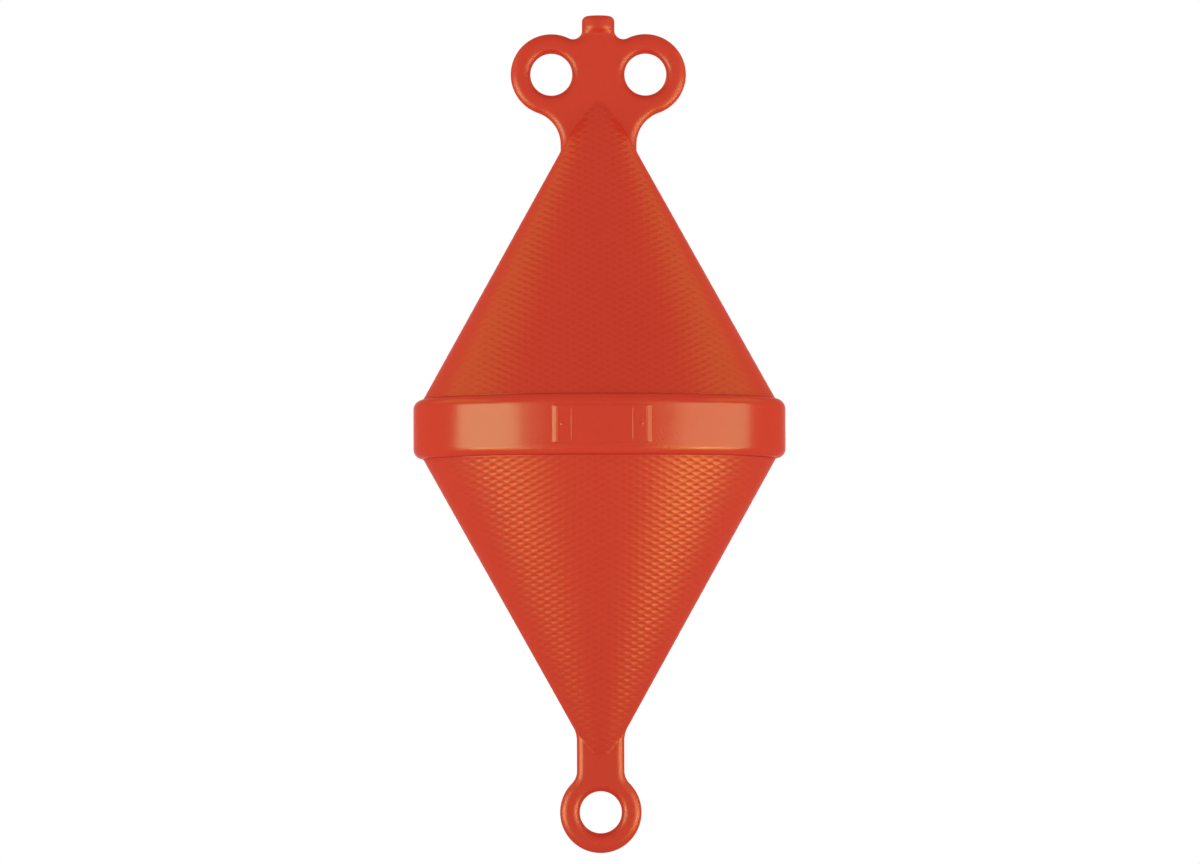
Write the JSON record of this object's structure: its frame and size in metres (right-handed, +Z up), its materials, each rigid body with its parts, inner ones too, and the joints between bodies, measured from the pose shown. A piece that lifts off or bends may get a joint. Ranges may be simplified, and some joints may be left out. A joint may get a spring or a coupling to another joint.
{
  "type": "biconical mooring buoy",
  "caption": "Biconical float with a round belt, a flat head lug with paired eyes and a filling neck above, and a single-eyed foot lug below.",
  "frame": {"origin": "on the buoy's axis at the middle height of the belt, which is its waterline when moored", "axes": "+Z up along the axis through the filling neck, X across the pair of head eyes, Y through all the eyes' holes, with the front label panel facing -Y"},
  "size_m": [0.32, 0.322, 0.72],
  "materials": {
    "smooth_shell": "orange-red moulded polyethylene, fine grain, semi-gloss",
    "label_panel": "orange-red moulded polyethylene, fine grain, blank",
    "knurled_shell": "orange-red moulded polyethylene with a low diamond knurl, semi-gloss",
    "lug_plastic": "orange-red moulded polyethylene, smooth, semi-gloss"
  },
  "bodies": {
    "root": {"belt": "smooth_shell", "label_panel_front": "label_panel", "label_panel_rear": "label_panel", "upper_cone": "knurled_shell", "lower_cone": "knurled_shell", "head_web": "lug_plastic", "head_eye_left": "lug_plastic", "head_eye_right": "lug_plastic", "neck_stub": "lug_plastic", "foot_shank": "lug_plastic", "foot_eye": "lug_plastic"}
  },
  "joints": []
}
